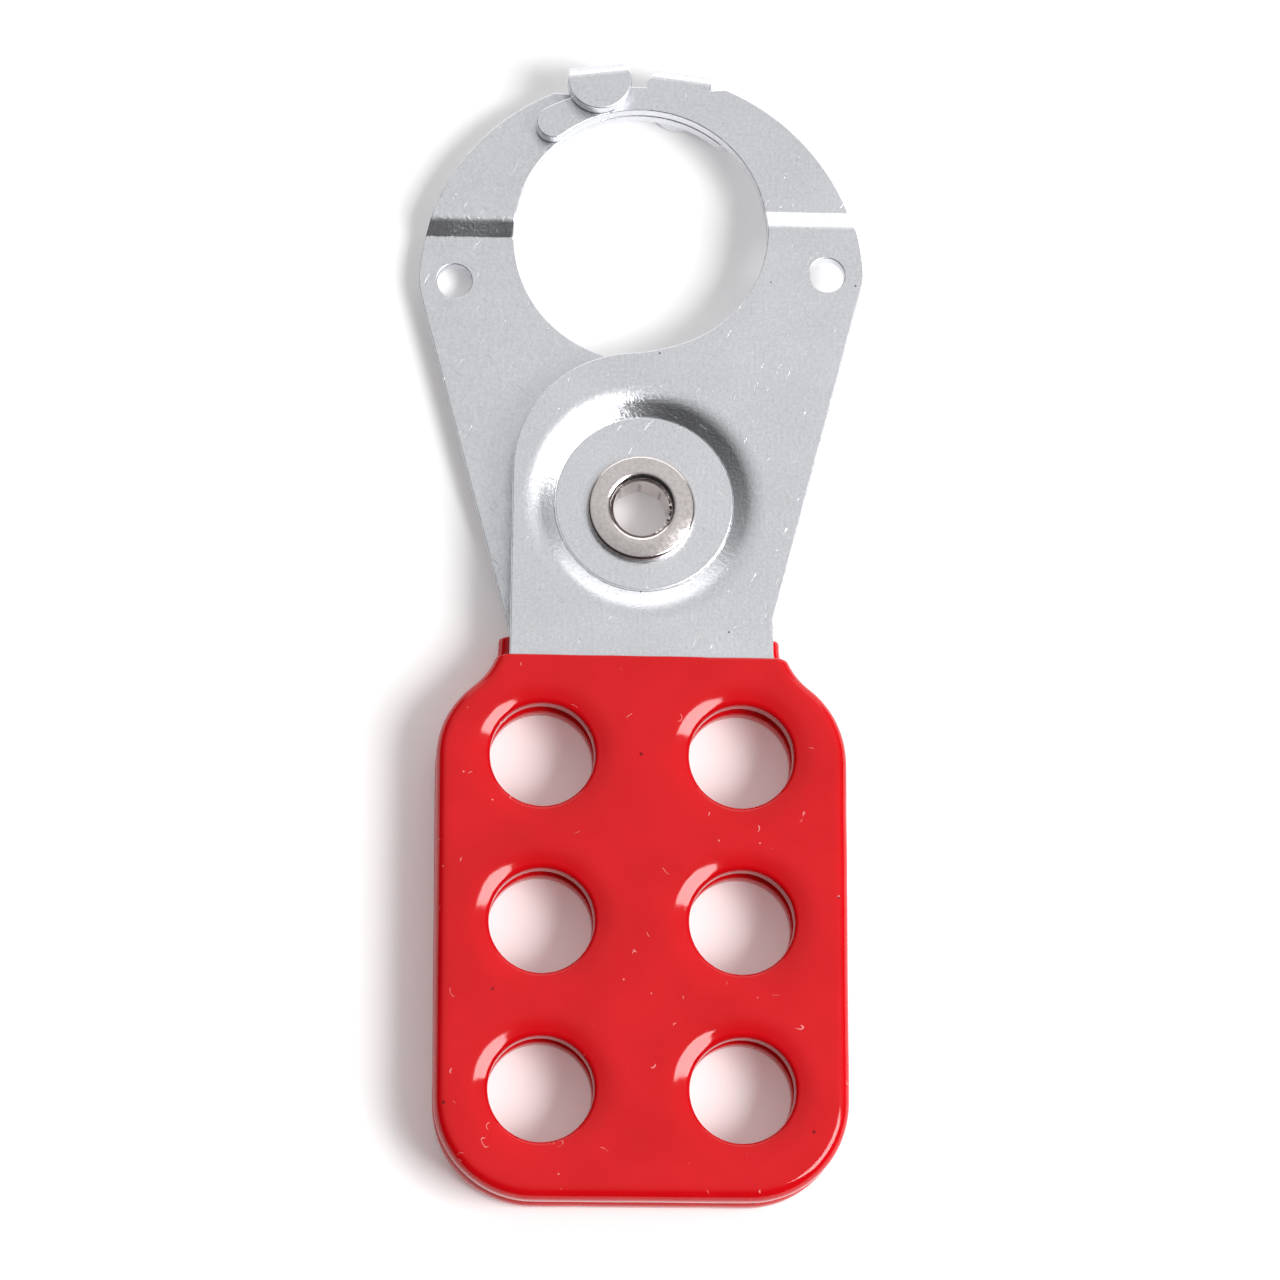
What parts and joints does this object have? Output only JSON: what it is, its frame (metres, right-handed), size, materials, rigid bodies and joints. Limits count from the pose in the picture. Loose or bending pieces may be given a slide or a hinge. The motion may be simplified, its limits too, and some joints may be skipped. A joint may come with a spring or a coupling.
{
  "type": "lockout hasp",
  "caption": "Steel lockout hasp: two riveted arms whose hooked jaws close round a lock point, with vinyl-dipped handles pierced for padlocks.",
  "frame": {"origin": "bottom centre of the whole object, lying flat and closed on its back grip", "axes": "+Y along the hasp from the handles to the jaws, +Z out of the front arm's face, parallel to the pivot"},
  "size_m": [0.0446, 0.1156, 0.0079],
  "materials": {
    "zinc_steel": "bright zinc plate with a fine mottled grain",
    "red_vinyl": "smooth glossy dip coat",
    "nickel_plate": "bright nickel plate"
  },
  "bodies": {
    "back_arm": {"back_plate": "zinc_steel", "back_grip": "red_vinyl", "pivot_eyelet": "nickel_plate"},
    "front_arm": {"front_plate": "zinc_steel", "front_grip": "red_vinyl"}
  },
  "joints": [
    {"name": "arm_pivot", "type": "hinge", "parent": "back_arm", "child": "front_arm", "pos_m": [0, 0.01121, 0.00395], "axis": [0, 0, -1], "range_deg": [0, 130]}
  ]
}
